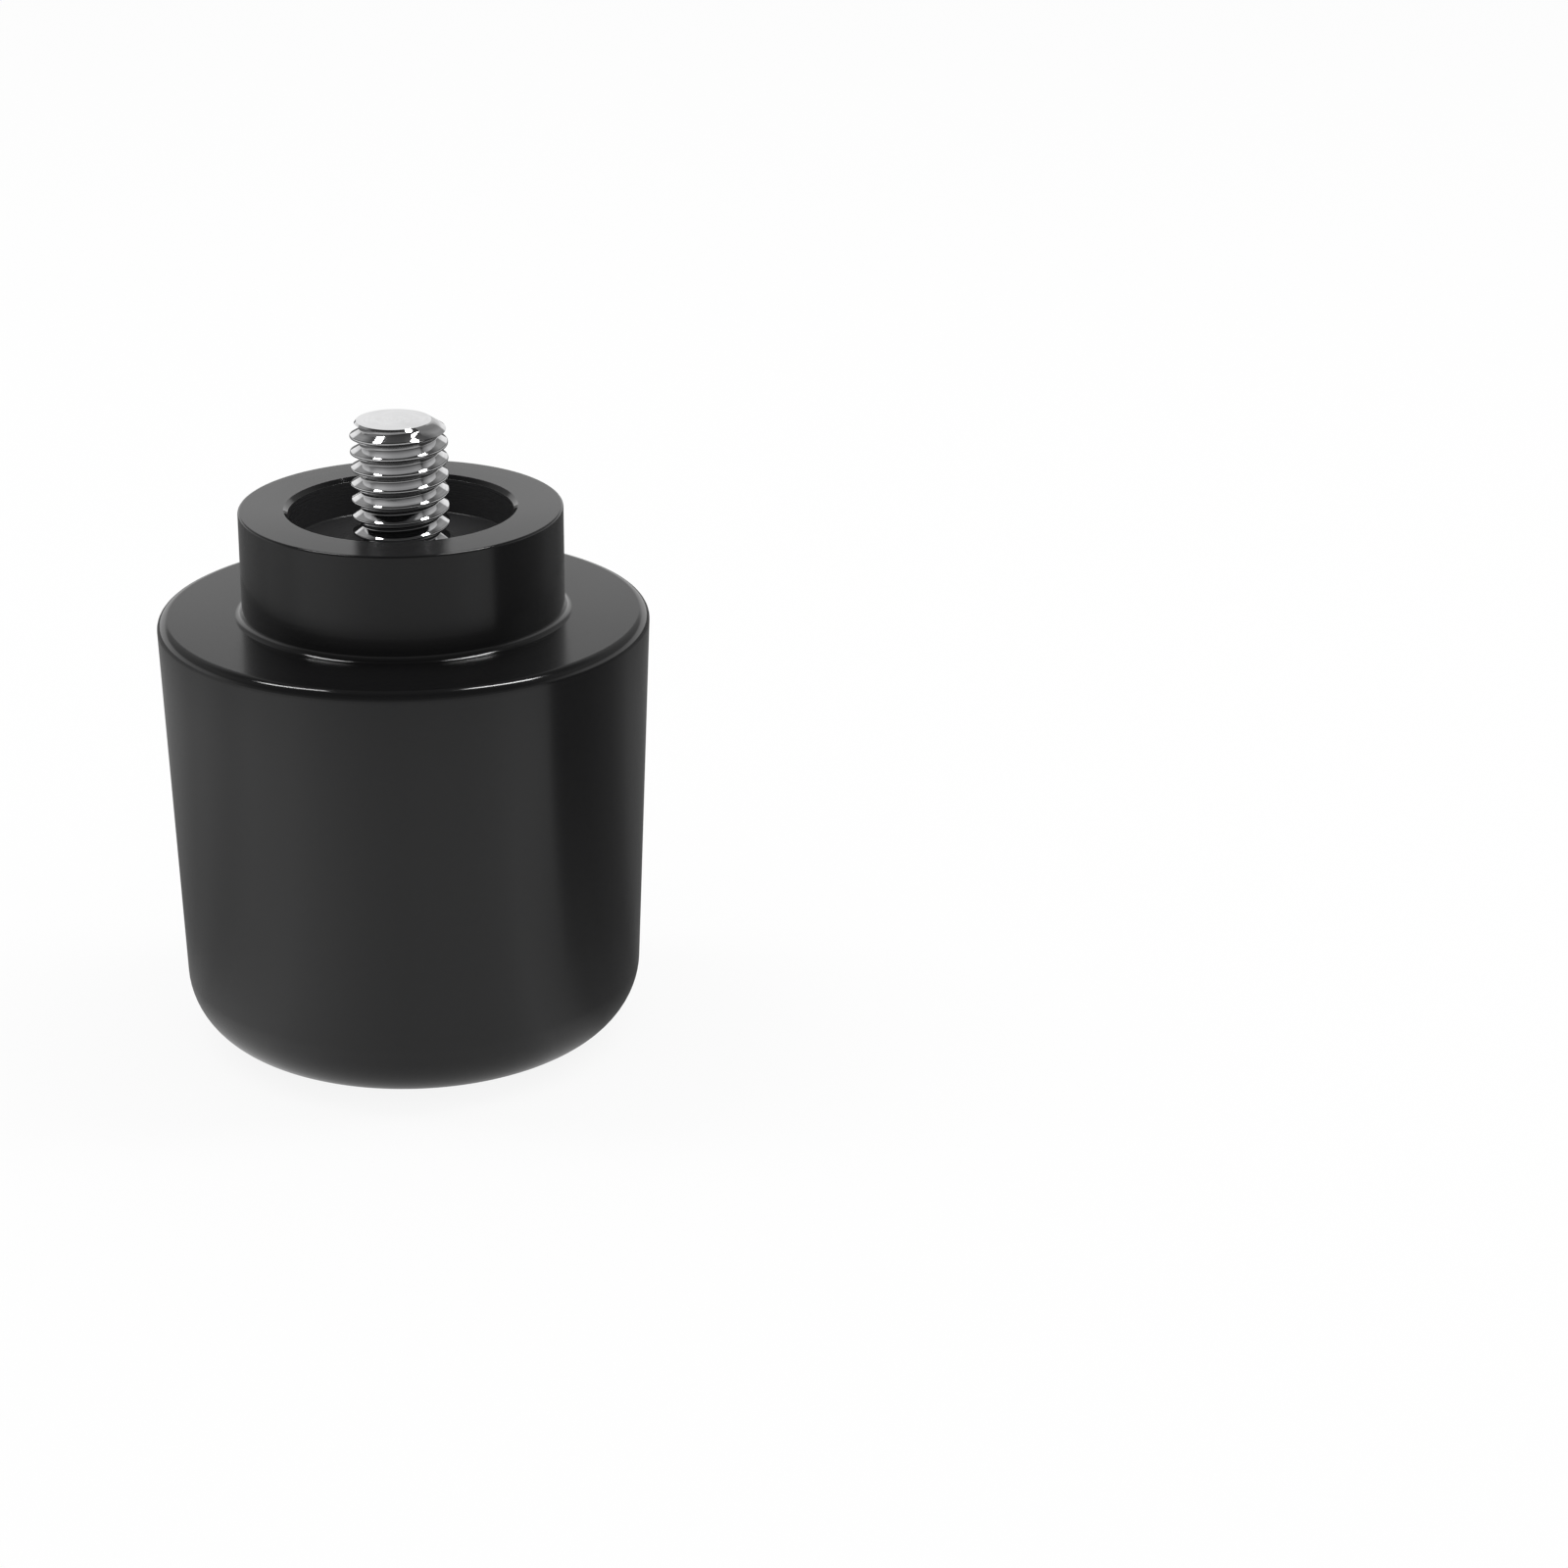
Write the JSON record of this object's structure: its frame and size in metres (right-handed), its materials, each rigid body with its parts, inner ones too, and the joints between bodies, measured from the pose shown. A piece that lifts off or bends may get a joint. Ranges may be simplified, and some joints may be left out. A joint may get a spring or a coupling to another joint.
{
  "type": "bar end weight",
  "caption": "Round tapered handlebar end weight with a stepped collar, a recess in the collar and a central threaded stud.",
  "frame": {"origin": "centre of the flat outer end, which the weight stands on", "axes": "+Z along the turning axis from the outer end to the stud; X and Y are equivalent, since the part is round"},
  "size_m": [0.03, 0.03, 0.0393],
  "materials": {
    "black_anodised_aluminium": "satin black anodised, fine turning lines",
    "zinc_plated_steel": "bright zinc plate"
  },
  "bodies": {
    "root": {"weight_body": "black_anodised_aluminium", "threaded_stud": "zinc_plated_steel"}
  },
  "joints": []
}
